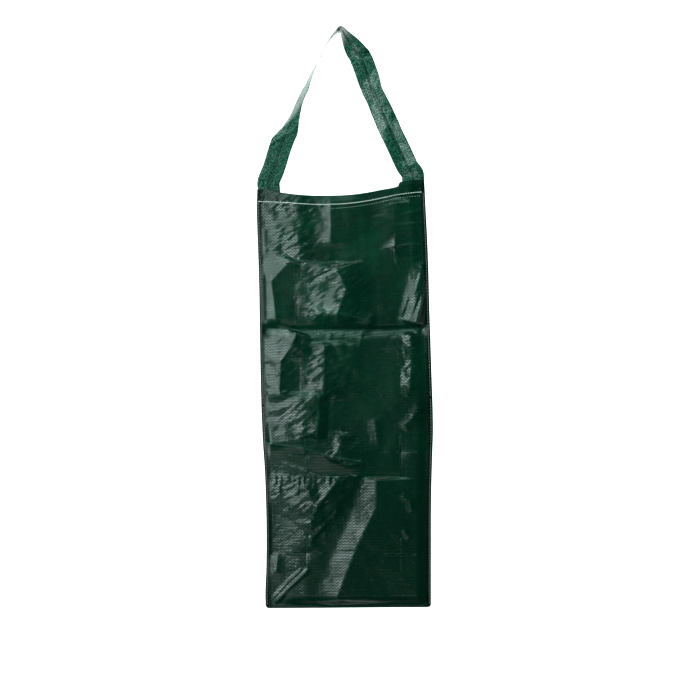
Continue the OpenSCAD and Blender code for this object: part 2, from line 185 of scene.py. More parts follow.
# Wrinkles of the front: crest points (x, z), width on its left or lower side, width on its right or upper
# side, height, and how far it fades in at its first and its last point
WRINKLES = [
    ("upper_left_glare", [(-58.3, -216.9), (-55.5, -271), (-56.9, -322.3)], 52.7, 30, 0.35, 0, 19.4),
    ("upper_band", [(-13.9, -230.8), (-13.9, -271), (-15.3, -308.5)], 22, 70, 1.5, 8.3, 16.6),
    ("upper_diamond", [(-56.9, -322.3), (-31.9, -322.3), (-6.9, -314)], 8.3, 20.8, 0.5, 8.3, 8.3),
    ("upper_wedge", [(-69.3, -314), (-72.1, -322.3), (-97.1, -348.7), (-91.5, -390.3), (-90.2, -411.1)],
        27.7, 30.5, 2.2, 8.3, 11.1),
    ("upper_middle", [(-8, -320), (-8, -330), (7, -360), (-6, -396), (-8, -414)], 60, 41.6, 4.4, 16, 18),
    ("upper_slate", [(-48, -392), (5, -394), (50, -408)], 24, 16, 1.9, 13.9, 13.9),
    ("upper_right_edge", [(128, -322), (104, -412)], 30, 14, 4.2, 14, 5),
    ("edge_streak_1", [(117, -352), (95, -410)], 3, 4, -0.5, 8, 8),
    ("edge_streak_2", [(112, -334), (103, -366)], 4, 4, 0.5, 8, 8),
    ("edge_streak_3", [(98, -366), (86, -402)], 3, 4, -0.4, 8, 8),
    ("upper_right_wave", [(76.3, -230.8), (72.1, -266.9)], 30.5, 36.1, 0.8, 8.3, 13.9),
    ("ripple_1", [(58, -245), (92, -240), (118, -242)], 3.6, 3, 0.34, 16, 10),
    ("ripple_2", [(80, -257), (120, -250)], 3.4, 3, 0.36, 14, 6),
    ("ripple_3", [(38, -262), (66, -258), (84, -262)], 3.6, 3.4, 0.26, 14, 12),
    ("ripple_4", [(76, -302), (98, -298), (117, -299)], 3, 3.4, 0.42, 12, 6),
    ("ripple_5", [(82, -322), (116, -314)], 3.2, 2.8, 0.28, 12, 6),
    ("ripple_6", [(72, -272), (118, -268)], 3.2, 3.4, 0.3, 14, 6),
    ("middle_left", [(-61, -418), (-68, -438.8), (-83.2, -458.3), (-86, -495.7), (-83.2, -516.5)],
        33.3, 27.7, 2.4, 2.8, 13.9),
    ("middle_band", [(-23.6, -430.5), (-23.6, -472.1), (-25, -516.5)], 33.3, 61, 2.2, 8.3, 13.9),
    ("middle_diagonal", [(-22.2, -469.4), (-45.8, -488.8)], 6.9, 6.9, 0.5, 5.5, 5.5),
    ("middle_right", [(95.7, -419.4), (97.1, -458.3), (95.7, -502.6)], 15, 16, 1.3, 5.5, 11.1),
    ("streak_1", [(97.1, -491.6), (90.2, -511)], 11.1, 8.3, 0.6, 5.5, 5.5),
    ("streak_2", [(113.7, -519.3), (84.6, -555.4)], 11.1, 11.1, 0.7, 6.9, 6.9),
    ("middle_field", [(-30, -500), (-31, -530), (-34, -574)], 84, 14, 2.9, 14, 16),
    ("left_diagonal_1", [(-112.3, -533.2), (-70.7, -522.1), (-26.4, -509.6)], 13.9, 16.6, 0.6, 5.5, 11.1),
    ("left_diagonal_2", [(-111, -555.4), (-70.7, -541.5), (-31.9, -526.2)], 12.5, 15.3, 0.5, 5.5, 11.1),
    ("left_diagonal_3", [(-109.6, -576.2), (-77.7, -570.6), (-47.2, -565.1)], 11.1, 16.6, 0.8, 5.5, 11.1),
    ("short_ridge", [(45.8, -535.9), (51.3, -578.9)], 11.1, 11.1, 0.7, 8.3, 8.3),
    ("middle_patch", [(6.9, -555.4), (4.2, -563.7), (-13.9, -599.7)], 22.2, 27.7, 1.2, 6.9, 6.9),
    ("middle_streak", [(2.8, -602.5), (33.3, -601.1)], 5.5, 5.5, 0.5, 5.5, 5.5),
    ("slate_band", [(-116, -571), (-56, -579), (-15, -590), (52, -604)], 40, 40, 2.6, 0, 46),
    ("lower_zone", [(-4.2, -616.4), (-4.2, -624.7), (-37.4, -667.7), (-52.7, -694.1)],
        86, 33.3, 2.6, 2.8, 27.7),
    ("lower_ridge", [(-4.2, -623.3), (-37.4, -667)], 5.5, 5.5, 0.6, 4.2, 8.3),
    ("broad_band", [(47.9, -619.2), (47.9, -662.2), (22.2, -714.9), (5.5, -757.9), (-9.7, -796.7),
        (-18, -822)], 30.5, 83.2, 2.4, 5.5, 14),
    ("lower_short", [(-43, -707.9), (-19.4, -683)], 5.5, 5.5, 0.6, 5.5, 5.5),
    ("lower_left_strip", [(-86, -722), (-93, -768)], 15, 14, 1.2, 16, 18),
    ("lower_left_field", [(-41.6, -674.6), (-41.6, -726)], 38.8, 16.6, 0.9, 11.1, 11.1),
    ("corner_ridge_1", [(-42, -745), (-74, -775), (-95, -799)], 4.6, 6, 0.9, 6.9, 10),
    ("corner_ridge_2", [(-52, -746), (-74, -766), (-98, -794)], 4, 4, 0.5, 9, 14),
    ("right_arc", [(81.8, -644.1), (94.3, -652.4), (99.9, -671.9)], 8.3, 8.3, 0.6, 5.5, 6.9),
    ("right_streak", [(84.6, -689.9), (97.1, -707.9)], 6.9, 6.9, 0.5, 5.5, 5.5),
    ("crease_1", [(-120, -413.8), (-70, -416.4), (60, -416.6), (127, -414)], 15, 8, -1.9, 0, 0),
    ("hang_1", [(-92, -618), (-90, -636)], 3, 4.5, 0.4, 2, 12),
    ("hang_2", [(-84, -618), (-85, -650)], 3.5, 3, 0.3, 2, 16),
    ("hang_3", [(-75, -618), (-74, -632)], 3, 6, 0.45, 2, 10),
    ("hang_4", [(-59, -618), (-61, -655)], 3.5, 4, 0.35, 2, 18),
    ("hang_5", [(-52, -618), (-52, -634)], 3, 4, 0.4, 2, 10),
    ("hang_6", [(-36, -618), (-38, -645)], 3, 3.5, 0.25, 2, 14),
    ("hang_7", [(-16, -618), (-17, -638)], 5, 5, 0.4, 2, 10),
    *[(f"hang_{k}", [(x, -419), (x - 3, -419 - drop)], 4 + drop / 12, 3.5, 0.3, 2, 12)
        for k, (x, drop) in enumerate(((-62, 24), (-49, 12), (-14, 26), (3, 13), (29, 30), (66, 15)), 8)],
]
# Wrinkles of the back, seen from behind
BACK_WRINKLES = [
    ("crease_1", [(-128, -414), (-60, -416.6), (60, -416.6), (120, -414)], 14, 14, 1.6, 0, 0),
    ("crease_2", [(-130, -616), (-20, -618), (60, -615), (112, -616)], 12, 12, -1.8, 0, 0),
    ("fold_1", [(-52, -228), (-60, -300), (-48, -380)], 30, 22, 1.8, 10, 30),
    ("fold_2", [(28, -232), (22, -290), (34, -370)], 22, 40, 1.6, 10, 30),
    ("fold_3", [(84, -240), (70, -330), (76, -400)], 20, 18, 1.2, 20, 20),
    ("fold_4", [(-70, -430), (-64, -500), (-80, -590)], 26, 30, 1.8, 20, 20),
    ("fold_5", [(8, -428), (-2, -520), (12, -600)], 26, 22, 1.6, 20, 20),
    ("fold_6", [(66, -440), (78, -520), (70, -606)], 20, 26, 1.4, 20, 20),
    ("fold_7", [(-40, -624), (-54, -700), (-44, -780)], 32, 26, 1.8, 20, 30),
    ("fold_8", [(46, -626), (40, -700), (58, -770)], 30, 30, 1.6, 20, 30),
]


FLANK_FROM = 7  # where the bulge begins beside a seam
LEFT_FLANK, RIGHT_FLANK, BOTTOM_FLANK = 50, 16, 38  # how far it takes to rise
GLOSS_FLANK = 16  # the same above the bottom fold in the gloss
# Unevenness of the cloth beside its wrinkles: height and size
UNEVEN = ((0.45, 74), (0.22, 31), (0.10, 13), (0.035, 6))
WORN_W = 1.6  # half width of the worn line along a crest
BROAD_FLANK, NARROW_FLANK = 60, 12  # wrinkles broader or narrower than these have straighter flanks


def off_strap(u, w, start, drop, width):
    """0 in the top corners, which the strap's ends press flat, and 1 beyond a slanting line."""
    left, right = ((out - start) * 0.82 + w * drop for out in (u, BAG_U - u))
    return soft(left / width) * soft(right / width)


def belly(u, w):
    """How far the bag bulges, from 0 at the seams to 1 on its flat, and the same for its gloss."""
    left = np.clip((u - FLANK_FROM) / LEFT_FLANK, 0, 1)
    left = 0.5 * left + 0.5 * soft(left)
    right = soft((BAG_U - u - FLANK_FROM) / RIGHT_FLANK)
    bulge = left * right * soft((BAG_W - w - 2) / BOTTOM_FLANK) * off_strap(u, w, 34, 0.57, 26)
    return bulge, left * (0.5 + 0.5 * right) * soft((BAG_W - w - 2) / GLOSS_FLANK)


def depth_of(u, w, x, z, wrinkles, seed):
    """How far the sheet lies off the middle of the bag, the same for its gloss, and its creases' wear."""
    inner = soft((np.minimum(u, BAG_U - u) - 3) / 9)
    calm = inner * soft((BAG_W - w - 3) / 20) * off_strap(u, w, 30, 0.6, 14)
    height, worn, crumpled = np.zeros(x.shape), np.zeros(x.shape), np.zeros(x.shape)
    for name, points, before, after, h, fade_in, fade_out in wrinkles:
        power = 1.1 if before > BROAD_FLANK else 1.4 if max(before, after) > NARROW_FLANK else 1.2
        wave = ridge(x, z, points, before, after, h, fade_in, fade_out, power)
        height = height + wave
        if before > 50 or name.startswith("middle"):
            crumpled = np.maximum(crumpled, np.clip(wave / h, 0, 1))
        crest = ridge(x, z, points, WORN_W, WORN_W, 1.0, fade_in, fade_out, 1.0)
        worn = np.maximum(worn, abs(h) * crest)
    for k, (amount, size) in enumerate(UNEVEN):
        height = height + amount * noise(x, z, size, seed + k)
    dents = 0.5 * noise(x + 0.4 * z, 0.8 * z, 14, seed + 4) + 0.2 * noise(x - z, z, 5.5, seed + 6)
    height = height + (0.15 + 0.85 * soft(3 * crumpled)) * dents
    bulge, gloss_bulge = belly(u, w)
    depth = np.maximum(SEAM + DEPTH * bulge + calm * height, SEAM * 0.8)
    # The sheet puckers along the hem's stitches
    puckers = 0.35 * noise(u, w, 3.2, seed + 5) * np.exp(-(((w - 11) / 6) ** 2))
    steep = GLINT * inner * soft((BAG_W - w - 2) / 10)
    return depth, SEAM + DEPTH * gloss_bulge + steep * height + puckers, np.clip(0.5 * worn, 0, 1)


def around_edges(u, w, x, depth):
    """Rolls the sheet round its side edges and its bottom edge to the middle of the bag."""
    quarter = SEAM * math.pi / 2
    for sign, out in ((1, u), (-1, BAG_U - u)):
        turn = np.clip(out / quarter, 0, 1) * math.pi / 2
        x = x + sign * (SEAM * (1 - np.cos(turn)) - np.minimum(out, quarter))
        depth = depth * np.sin(turn)
    turn = np.clip((BAG_W - w) / quarter, 0, 1) * math.pi / 2
    return x, depth * np.sin(turn)


def bag_side(us, ws, sign, wrinkles, seed):
    """Grid of the front (sign -1) or the back (sign 1): places, cloth coordinates, wear, and gloss."""
    w, u = np.meshgrid(ws, us, indexing="ij")
    x, z = place(u, w)
    depth, glint, worn = depth_of(u, w, x if sign < 0 else -x, z, wrinkles, seed)
    glint = around_edges(u, w, x, glint)[1]
    x, depth = around_edges(u, w, x, depth)
    return np.stack([x, sign * depth, z], -1), u, w, worn, np.stack([x, sign * glint, z], -1)


def arm_ends(middles):
    """Where the arms of the slits end, on both sides of their middles."""
    return [at + side * ARM for at in middles for side in (-1, 1)]


# Grid lines across and down the sheet, close at its edges and even over each slit
EDGE = [0, 0.6, 1.25]
INNER = 1.9
SLIT = 2 * ARM_CELLS
U = np.concatenate([EDGE, lines([INNER, *arm_ends(COLUMN_U), BAG_U - INNER], [22, SLIT, 58, SLIT, 13]),
    [BAG_U - e for e in EDGE][::-1]])
W = np.concatenate([lines([0, *arm_ends(ROW_W), BAG_W - INNER], [50, SLIT, 60, SLIT, 63, SLIT, 63, SLIT, 35]),
    [BAG_W - e for e in EDGE][::-1]])
COLUMN_AT = [int(np.argmin(abs(U - c))) for c in COLUMN_U]
ROW_AT = [int(np.argmin(abs(W - r))) for r in ROW_W]


def normals_of(points, sign=-1):
    """Smooth normals of a grid of points, facing outward."""
    across, down = np.gradient(points, axis=1), np.gradient(points, axis=0)
    n = np.cross(down, across)
    n = n / np.maximum(np.linalg.norm(n, axis=-1, keepdims=True), 1e-9)
    return n if sign < 0 else -n


def with_hem(points, u, w, worn, glint, sign):
    """Adds the hem above the first row: over the edge, and down on the inside."""
    rows = int(np.searchsorted(w[:, 0], HEM_H)) + 1
    inside = points[:rows][::-1].copy()
    inside[..., 1] -= sign * 2 * HEM_TURN * np.clip(np.abs(inside[..., 1]) / SEAM, 0, 1)
    arc = []
    for k in (1, 2, 3):
        angle = math.pi * k / 4
        row = points[0].copy()
        room = np.clip(np.abs(row[:, 1]) / SEAM, 0, 1)
        row[:, 1] -= sign * HEM_TURN * (1 - math.cos(angle)) * room
        row[:, 2] += HEM_TURN * math.sin(angle)
        arc.append(row)
    arc = np.array(arc[::-1])
    glint = np.concatenate([inside, arc, glint])
    new = rows + len(arc)
    # The cloth runs on over the edge, so there w is below 0
    ws = np.concatenate([-(w[:rows, 0][::-1]) - 1.1, [-0.85, -0.55, -0.3]])
    return (np.concatenate([inside, arc, points]), np.concatenate([np.repeat(u[:1], new, 0), u]),
        np.concatenate([np.repeat(ws[:, None], u.shape[1], 1), w]),
        np.concatenate([np.repeat(worn[:1], new, 0), worn]), glint, new)


# ---- meshes ----
def add_object(name, data):
    """A new object in the scene."""
    ob = bpy.data.objects.new(name, data)
    scene.collection.objects.link(ob)
    return ob


def build(name, verts, faces, uv, material, normals=None, worn=None):
    """A mesh piece from points in millimetres, with its cloth coordinates in tapes."""
    me = bpy.data.meshes.new(name)
    me.from_pydata((np.asarray(verts, float) * MM).tolist(), [], [list(map(int, f)) for f in faces])
    layer = me.uv_layers.new(name="cloth")
    corner = np.empty(len(me.loops), np.int32)
    me.loops.foreach_get("vertex_index", corner)
    layer.data.foreach_set("uv", (np.asarray(uv, np.float32) / TAPE)[corner].ravel())
    if worn is not None:
        me.attributes.new("worn", "FLOAT", "POINT").data.foreach_set("value", np.asarray(worn, np.float32))
    me.polygons.foreach_set("use_smooth", [True] * len(me.polygons))
    if normals is not None:
        me.normals_split_custom_set_from_vertices(np.asarray(normals, float).tolist())
    me.materials.append(material)
    return add_object(name, me)


def in_slit(i, j):
    """Whether a cell lies in a slit's window: 0 no, 1 all of it, else its corner that does."""
    for r in ROW_AT:
        for c in COLUMN_AT:
            a = i - r if i >= r else r - 1 - i
            b = j - c if j >= c else c - 1 - j
            if a + b < ARM_CELLS - 1:
                return 1
            if a + b == ARM_CELLS - 1:
                return (0 if i >= r else 1, 0 if j >= c else 1)
    return 0


def sheet_faces(first, last, columns, window, shift):
    """Faces of rows first to last of a grid; window says which cells, shift rows lower, are flaps'."""
    faces = []
    for i in range(first, last):
        for j in range(columns - 1):
            corners = {(a, b): (i + a - first) * columns + j + b for a in (0, 1) for b in (0, 1)}
            held = window(i - shift, j) if window and i >= shift else 0
            if held == 0:
                faces.append((corners[0, 0], corners[1, 0], corners[1, 1], corners[0, 1]))
            elif held != 1:
                ring = [(0, 0), (1, 0), (1, 1), (0, 1)]
                faces.append(tuple(corners[c] for c in ring if c != held))
    return faces


def used_points(name, faces, grid, material):
    """A mesh piece from the points of a grid that its faces use."""
    used = np.unique([v for f in faces for v in f])
    new = np.full(grid[1].size, -1)
    new[used] = np.arange(len(used))
    points, u, w, worn, normals = (a.reshape(-1, *a.shape[2:])[used] for a in grid)
    faces = [[new[v] for v in f] for f in faces]
    return build(name, points, faces, np.stack([u, w], -1), material, normals, worn)


def grid_piece(name, grid, first, last, material, window=None, shift=0, flip=False):
    """The rows first to last of a grid as a mesh piece."""
    faces = sheet_faces(first, last, grid[0].shape[1], window, shift)
    if flip:
        faces = [f[::-1] for f in faces]
    return used_points(name, faces, [a[first : last + 1] for a in grid[:5]], material)


# ---- materials ----
def new_material(name):
    """A material, its tree and its shader."""
    mat = bpy.data.materials.new(name)
    mat.use_nodes = True
    return mat, mat.node_tree, mat.node_tree.nodes["Principled BSDF"]


def fill(tree, n, inputs):
    """Sets or links inputs of a node."""
    for key, value in inputs.items():
        if isinstance(value, bpy.types.NodeSocket):
            tree.links.new(value, n.inputs[key])
        elif n.inputs[key].type == "RGBA":
            n.inputs[key].default_value = (*value, 1)
        else:
            n.inputs[key].default_value = value


def node(tree, kind, inputs, **settings):
    """A shader node with its inputs filled."""
    n = tree.nodes.new("ShaderNode" + kind)
    for key, value in settings.items():
        setattr(n, key, value)
    fill(tree, n, inputs)
    return n


def calc(tree, operation, a, b=0.0, c=0.0):
    """A number worked out from others."""
    return node(tree, "Math", {0: a, 1: b, 2: c}, operation=operation).outputs[0]


def times(tree, a, b, plus=None):
    """a times b, with something added."""
    return calc(tree, "MULTIPLY", a, b) if plus is None else calc(tree, "MULTIPLY_ADD", a, b, plus)


def between(tree, factor, a, b):
    """A number between a and b."""
    return node(tree, "Mix", {"Factor": factor, 2: a, 3: b}, data_type="FLOAT").outputs[0]


def mix(tree, factor, a, b):
    """A colour between a and b."""
    return node(tree, "Mix", {"Factor": factor, 6: a, 7: b}, data_type="RGBA").outputs[2]


def darker(colour, share):
    """That share of a colour."""
    return tuple(share * c for c in colour)


def remap(tree, value, low, high, to_low=0.0, to_high=1.0):
    """low to high drawn out to to_low to to_high, and no further."""
    return node(tree, "MapRange", {0: value, 1: low, 2: high, 3: to_low, 4: to_high}).outputs[0]


def blotches(tree, at, scale, detail=3.0):
    """Smooth noise about 0.5."""
    inputs = {"Vector": at, "Scale": scale, "Detail": detail, "Roughness": 0.55}
    return node(tree, "TexNoise", inputs).outputs[0]


def stretched(tree, uv, across, down):
    """Noise drawn out along the tapes."""
    at = node(tree, "VectorMath", {0: uv, 1: (across, down, 1)}, operation="MULTIPLY").outputs[0]
    return blotches(tree, at, 1.0, 2.0)


def cloth_place(tree):
    """Cloth coordinates in tapes: both, across, down."""
    uv = node(tree, "UVMap", {}, uv_map="cloth").outputs[0]
    split = node(tree, "SeparateXYZ", {0: uv})
    return uv, split.outputs[0], split.outputs[1]


def bump(tree, height, distance, normal=None):
    """Normals of a relief whose height counts in units of distance."""
    inputs = {"Strength": 1.0, "Distance": distance, "Height": height}
    return node(tree, "Bump", inputs if normal is None else {**inputs, "Normal": normal}).outputs[0]


def weave(tree, across, down):
    """Plain weave of flat tapes: its height, a random number for the tape on top, and its zigzag ribs."""
    wave = [calc(tree, "SINE", times(tree, at, math.pi)) for at in (across, down)]
    over = calc(tree, "GREATER_THAN", times(tree, *wave), 0.0)
    height = between(tree, over, *[calc(tree, "ABSOLUTE", s) for s in wave])
    ids = [calc(tree, "ADD", calc(tree, "FLOOR", at), first) for at, first in ((down, 50.37), (across, 0.37))]
    ids = [node(tree, "TexWhiteNoise", {"W": n}, noise_dimensions="1D").outputs[0] for n in ids]
    zigzag = calc(tree, "PINGPONG", across, 1.0)
    row = times(tree, times(tree, zigzag, ZIGZAG, down), math.pi)
    return height, between(tree, over, *ids), calc(tree, "COSINE", row)


ZIGZAG = 1.4  # how steeply a rib of the weave runs up and down, in tapes
HEM_RIM = (6.9, 7.7)  # where the sheet is no longer pressed flat under its hem, in tapes from the edge
SEAM_RIM = (4.1, 4.9)  # the same beside its seams
STRAP_FACE = UNDERSIDE * STRAP_W / TAPE[0] / 2  # from the middle of the strap's face to its edge, in tapes
LAP = 0.5  # where the strap's laps meet, in tapes from its middle


def woven(name, dark, light, pale, rough, relief, rows, coat, crinkle, grain, speckle, sewn=False):
    """Laminated fabric of woven plastic tapes: the sewn sheet, pressed flat at its rims, or the lapped strap.

    pale: colour of worn creases; speckle: share of mottling; relief, rows, crinkle: height of tapes, ribs and
    crumples in millimetres; grain: fineness of the crumples.
    """
    mat, tree, shader = new_material(name)
    uv, across, down = cloth_place(tree)
    height, tape, rib = weave(tree, across, down)
    clear = remap(tree, blotches(tree, uv, 0.13), 0.34, 0.52, 0.7, 1.0)
    groove = times(tree, calc(tree, "MINIMUM", rib, 0.0), clear)
    fine = blotches(tree, uv, 0.6, 2.0)

    # Colour: uneven from tape to tape, mottled, with painted shade in the grooves; painted shade also darkens
    # the sheet downwards
    shade = remap(tree, times(tree, tape, 0.12, times(tree, blotches(tree, uv, 0.035), 0.8)), 0.28, 0.66)
    if sewn:
        # Painted shade: the sewn sheet's colour darkens down the sheet
        shade = times(tree, shade, remap(tree, down, 50.0, 230.0, 1.15, 0.15))
    spots = remap(tree, blotches(tree, uv, 0.85, 1.0), 0.44, 0.58)
    colour = mix(tree, between(tree, speckle, shade, spots), dark, light)
    # Painted shade: the colour darkens in the grooves of the weave's ribs
    colour = mix(tree, times(tree, groove, -0.6), colour, darker(dark, 0.25))

    # Gloss of the laminate: on the ribs, weaker in broad patches and between the spots
    film = remap(tree, times(tree, fine, 0.5, times(tree, rib, clear)), -0.1, 0.8, 0.0, coat)
    film = times(tree, film, remap(tree, blotches(tree, uv, 0.075), 0.38, 0.6, 0.36, 1.0))
    film = times(tree, film, remap(tree, spots, 0.0, 1.0, 0.5, 1.0))
    if sewn:
        inward = calc(tree, "MINIMUM", across, calc(tree, "SUBTRACT", BAG_U / TAPE[0], across))
        rim = times(tree, fine, 2.6, inward)
        folded = remap(tree, times(tree, fine, 3.0, down), *HEM_RIM, 0.12, 1.0)
        film = times(tree, film, times(tree, remap(tree, rim, *SEAM_RIM, 0.08, 1.0), folded))
        # Painted shade: beside the seams the colour darkens
        colour = mix(tree, remap(tree, rim, *SEAM_RIM, 0.8, 0.0), colour, darker(dark, 0.3))
    else:
        from_middle = calc(tree, "PINGPONG", across, STRAP_FACE)
        lap = calc(tree, "ABSOLUTE", calc(tree, "SUBTRACT", from_middle, LAP))
        edge = remap(tree, from_middle, STRAP_FACE - 0.75, STRAP_FACE - 0.45)
        shadow = calc(tree, "MAXIMUM", edge, remap(tree, lap, 0.35, 0.2))
        film = times(tree, film, remap(tree, shadow, 0.0, 1.0, 1.0, 0.1))
        colour = mix(tree, times(tree, shadow, 0.8), colour, darker(dark, 0.4))
    worn = node(tree, "Attribute", {}, attribute_name="worn").outputs["Fac"]
    rubbed = times(tree, worn, remap(tree, fine, 0.35, 0.7))

    # Relief: crumples, and on them tapes, ribs and streaks; the coat lies smoother over it
    crumples = bump(tree, blotches(tree, uv, grain, 4.0), crinkle * MM)
    streaks = calc(tree, "ADD", stretched(tree, uv, 0.1, 0.9), stretched(tree, uv, 0.9, 0.1))
    ribbed = times(tree, streaks, 0.09, times(tree, groove, rows, times(tree, height, relief)))
    uneven = calc(tree, "ADD", fine, times(tree, tape, 0.5))
    spread = remap(tree, uneven, 0.4, 1.1, rough - 0.04, rough + 0.05)
    fill(tree, shader, {
        "Base Color": mix(tree, times(tree, rubbed, 0.3), colour, pale),
        "Roughness": times(tree, worn, 0.12, spread),
        "Normal": bump(tree, ribbed, MM, crumples),
        "Coat Weight": film,
        "Coat Normal": bump(tree, ribbed, 0.6 * MM, crumples),
        "Coat Roughness": 0.06,
        "Specular IOR Level": 0.12,
        "IOR": 1.5,
    })
    return mat


def yarn(name, dark, light):
    """Twisted sewing thread."""
    mat, tree, shader = new_material(name)
    across, down = cloth_place(tree)[1:]
    slant = calc(tree, "ADD", times(tree, across, TWIST), times(tree, down, TWIST))
    ply = calc(tree, "ABSOLUTE", calc(tree, "SINE", slant))
    # Painted shade: the colour darkens into the grooves between the plies
    fill(tree, shader, {
        "Base Color": mix(tree, ply, dark, light),
        "Roughness": remap(tree, ply, 0.0, 1.0, 0.6, 0.45),
        "Normal": bump(tree, ply, 0.1 * MM),
        "Sheen Weight": 0.3,
    })
    return mat


TWIST = 9.0  # turns of a thread's plies
SHEET = woven("woven_sheet", (0.0006, 0.0101, 0.0056), (0.0017, 0.0298, 0.0158), (0.03, 0.11, 0.08),
    rough=0.115, relief=0.04, rows=0.09, coat=0.95, crinkle=0.38, grain=0.28, speckle=0.15, sewn=True)
STRAP = woven("woven_strap", (0.0011, 0.016, 0.0095), (0.013, 0.092, 0.060), (0.06, 0.16, 0.12),
    rough=0.15, relief=0.06, rows=0.08, coat=1.0, crinkle=0.5, grain=0.5, speckle=0.8)
THREAD = yarn("sewing_thread", (0.36, 0.43, 0.39), (0.70, 0.75, 0.72))
DARK_THREAD = yarn("seam_thread", (0.045, 0.075, 0.062), (0.15, 0.19, 0.17))


# ---- front and back sheets ----
def bend_at_crease(ob):
    """Bakes the piece's transform into its mesh."""
    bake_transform(ob)


def side_grid(us, ws, sign, wrinkles, seed):
    """Grid of one side with its hem (points, u, w, worn, normals, gloss), and the hem's number of rows."""
    points, u, w, worn, glint, added = with_hem(*bag_side(us, ws, sign, wrinkles, seed), sign)
    return (points, u, w, worn, normals_of(glint, sign), glint), added


front_grid, hem_rows = side_grid(U, W, -1, WRINKLES, 11)
# The back has every second grid line, and all of them at its edges
U_BACK, W_BACK = np.concatenate([U[:4], U[4:-4:2], U[-4:]]), np.concatenate([W[:-4:2], W[-4:]])
back_grid, back_hem = side_grid(U_BACK, W_BACK, 1, BACK_WRINKLES, 41)
back_split = back_hem + int(np.argmin(abs(W_BACK - W[SPLIT_ROW])))
last_front, last_back = len(front_grid[0]) - 1, len(back_grid[0]) - 1
split = hem_rows + SPLIT_ROW

front_top = grid_piece("front_sheet_top", front_grid, 0, split, SHEET, in_slit, hem_rows)
front_bottom = grid_piece("front_sheet_bottom", front_grid, split, last_front, SHEET, in_slit, hem_rows)
back_top = grid_piece("back_sheet_top", back_grid, 0, back_split, SHEET, flip=True)
back_bottom = grid_piece("back_sheet_bottom", back_grid, back_split, last_back, SHEET, flip=True)


# ---- flaps of the cross slits ----
QUARTERS = {"ne": (1, 1), "nw": (-1, 1), "sw": (-1, -1), "se": (1, -1)}
# How far a flap's free corner stands out (or, below 0, in); the other flaps get a small random lift
LIFTS = {("right", 1, "nw"): 2.6, ("right", 1, "ne"): 0.9, ("left", 1, "se"): -1.2, ("left", 4, "se"): -1.3,
    ("left", 3, "ne"): 0.8, ("right", 3, "nw"): -0.8, ("right", 3, "ne"): -0.4, ("right", 2, "sw"): 1.0,
    ("left", 2, "nw"): -0.7}
RANDOM_LIFT, RANDOM_CURL = 1.3, 0.5
FLAP_BACK = 0.05  # how far a flap lies behind the sheet
CUT_WEAR = 2.5  # how worn the cut edges look


def make_flap(column, row, quarter):
    """One triangular flap: its hinge runs between two arm tips, its free corner is the middle of the slit."""
    right, up = QUARTERS[quarter]
    side, number = COLUMN_NAMES[column], row + 1
    r, c = ROW_AT[row] + hem_rows, COLUMN_AT[column]
    i0, j0 = (r - ARM_CELLS if up > 0 else r), (c if right > 0 else c - ARM_CELLS)
    n = ARM_CELLS + 1
    cut = (slice(i0, i0 + n), slice(j0, j0 + n))
    points, u, w, worn, normals, glint = (values[cut].copy() for values in front_grid)
    a, b = np.meshgrid(abs(np.arange(i0, i0 + n) - r), abs(np.arange(j0, j0 + n) - c), indexing="ij")
    free = np.clip(1 - (a + b) / ARM_CELLS, 0, 1)
    rng = np.random.default_rng(100 + 16 * column + 4 * row + list(QUARTERS).index(quarter))
    lift = LIFTS.get((side, number, quarter), rng.uniform(-RANDOM_LIFT, RANDOM_LIFT))
    curl = rng.uniform(-RANDOM_CURL, RANDOM_CURL)
    stand = lift * free**2 * (1 + curl * (a - b) / ARM_CELLS)
    points[..., 1] -= stand - FLAP_BACK
    worn = worn + CUT_WEAR * ((a == 0) | (b == 0)) * (a + b < ARM_CELLS)
    glint[..., 1] -= 2 * stand
    room = np.clip(4 * free, 0, 1) * KERF / 2
    points[..., 0] += right * room * (b == 0)
    points[..., 2] += up * room * (a == 0)
    normals = np.where((a + b == ARM_CELLS)[..., None], normals, normals_of(glint))
    faces = []
    for i in range(ARM_CELLS):
        for j in range(ARM_CELLS):
            ring = [(i, j), (i + 1, j), (i + 1, j + 1), (i, j + 1)]
            inside = [i_ * n + j_ for i_, j_ in ring if a[i_, j_] + b[i_, j_] <= ARM_CELLS]
            if len(inside) >= 3:
                faces.append(inside)
    name = f"flap_{side}_{number}_{quarter}"
    ob = used_points("cloth_" + name, faces, (points, u, w, worn, normals), SHEET)
    tip_a = points[(a == ARM_CELLS) & (b == 0)][0]
    tip_b = points[(a == 0) & (b == ARM_CELLS)][0]
    middle = (tip_a + tip_b) / 2
    line = tip_b - tip_a
    inward = np.array([-line[2], 0, line[0]]) / math.hypot(line[0], line[2])
    inward = inward * np.sign(inward @ (points[(a == 0) & (b == 0)][0] - middle))
    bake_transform(ob)
    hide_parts(name)
    return ob


flaps = {(c, r, q): make_flap(c, r, q) for c in (0, 1) for r in range(4) for q in QUARTERS}


# ---- strap ----
STRAP_T = 0.8  # thickness of the strap
HINGE_TILT = math.radians(3)  # slope of the line on which the bag swings
HINGE_Z = -214.0  # height of its middle
UP_BEND = np.array([-math.sin(HINGE_TILT), math.cos(HINGE_TILT)])
LEFT_BEND, RIGHT_BEND = (np.array([x, HINGE_Z + x * math.tan(HINGE_TILT)]) + 0.5 * UP_BEND
    for x in (-100.0, 100.0))
# Middle line of the strap from the left seam over the hook to the right seam: X and Z
STRAP_LINE = [*[LEFT_BEND + way * UP_BEND for way in (-26, -13, 0, 8)], (-93, -192), (-86, -169),
    (-82, -157), (-77.5, -146), (-71.5, -133), (-65, -117), (-57.5, -100), (-50, -84), (-43, -67),
    (-35.5, -50.5), (-27, -34), (-17, -15), (-8, -4), (0, 0.4), (6.5, -9), (17, -25), (28, -41), (35, -59),
    (43.5, -84), (51, -100), (65, -132), (79, -162), (91.5, -188),
    *[RIGHT_BEND + way * UP_BEND for way in (8, 0, -13, -26)]]
